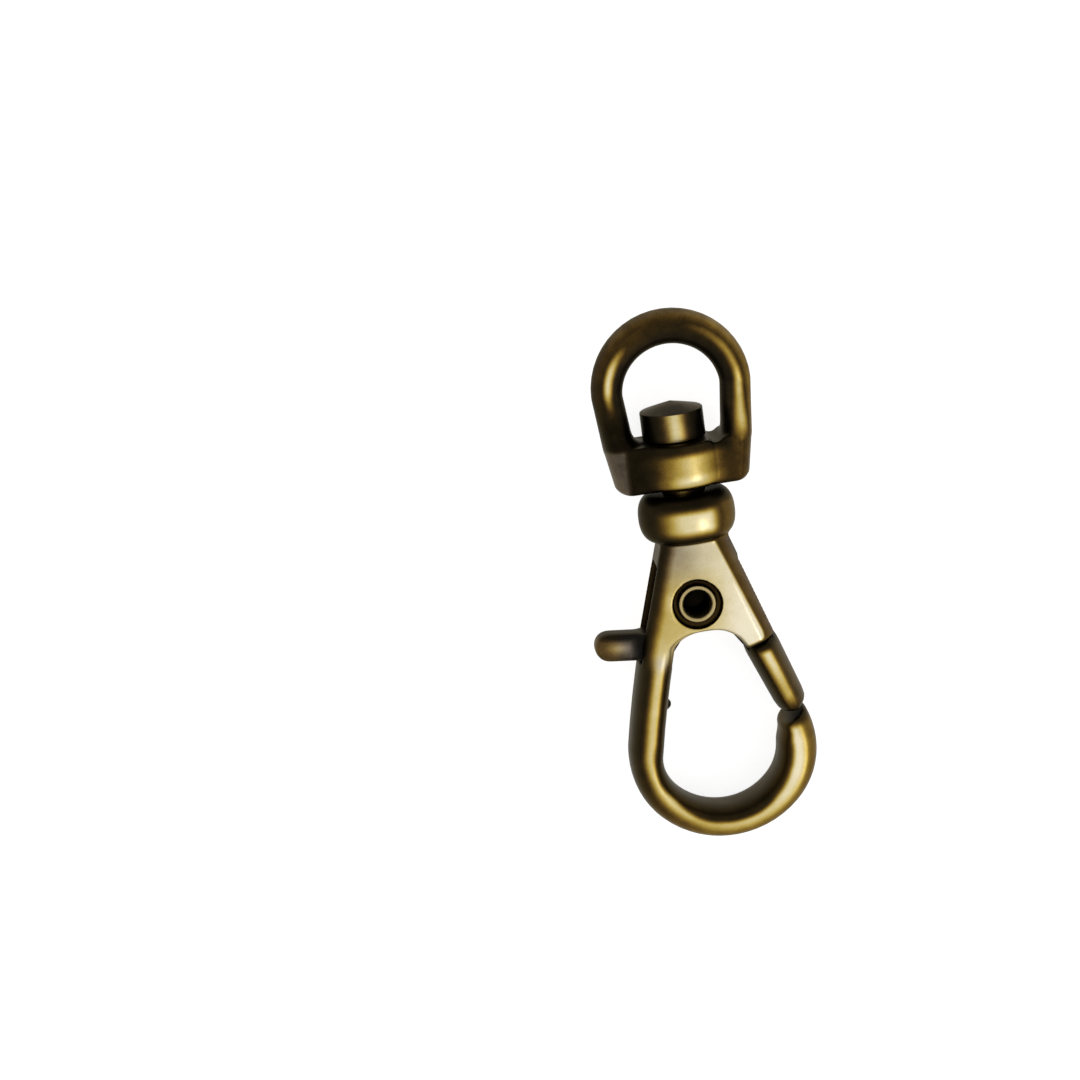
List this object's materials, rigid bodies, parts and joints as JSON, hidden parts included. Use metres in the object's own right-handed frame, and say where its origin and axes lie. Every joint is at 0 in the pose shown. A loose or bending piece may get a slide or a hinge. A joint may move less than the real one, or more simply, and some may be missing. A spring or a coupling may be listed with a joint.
{
  "type": "snap hook",
  "caption": "Swivel snap hook with an oval bow, a sprung gate worked by a thumb tab, and a turning D-shaped eye on a headed stud.",
  "frame": {"origin": "centre of the bow's inner curve, on the swivel axis and the middle plane, where the load hangs", "axes": "+Y along the swivel axis towards the eye, +X towards the gate, +Z out of the face that shows the rivet's hollow end"},
  "size_m": [0.0147, 0.0379, 0.0068],
  "materials": {
    "antique_brass_body": "satin antique plating, dark in the recesses and rubbed pale on the raised faces",
    "antique_brass_gate": "satin antique plating, a little darker than the body",
    "spring_steel": "drawn wire",
    "rivet_brass": "bright rolled rim round a black hollow",
    "antique_brass_stud": "satin antique plating, dark end face",
    "antique_brass_eye": "satin antique plating, rubbed along the rod"
  },
  "bodies": {
    "hook": {"hook_body": "antique_brass_body", "torsion_spring": "spring_steel", "pivot_rivet": "rivet_brass", "swivel_stud": "antique_brass_stud"},
    "gate": {"gate_lever": "antique_brass_gate"},
    "eye": {"swivel_eye": "antique_brass_eye"}
  },
  "joints": [
    {"name": "gate_pivot", "type": "hinge", "parent": "hook", "child": "gate", "pos_m": [-0.00025, 0.0113, 0], "axis": [0, 0, -1], "range_deg": [0, 40], "stiffness_Nm_per_rad": 0.02, "springref_deg": -28.65, "deforming": ["torsion_spring"]},
    {"name": "eye_swivel", "type": "hinge", "parent": "hook", "child": "eye", "pos_m": [0, 0.0212, 0], "axis": [0, 1, 0], "continuous": true}
  ]
}
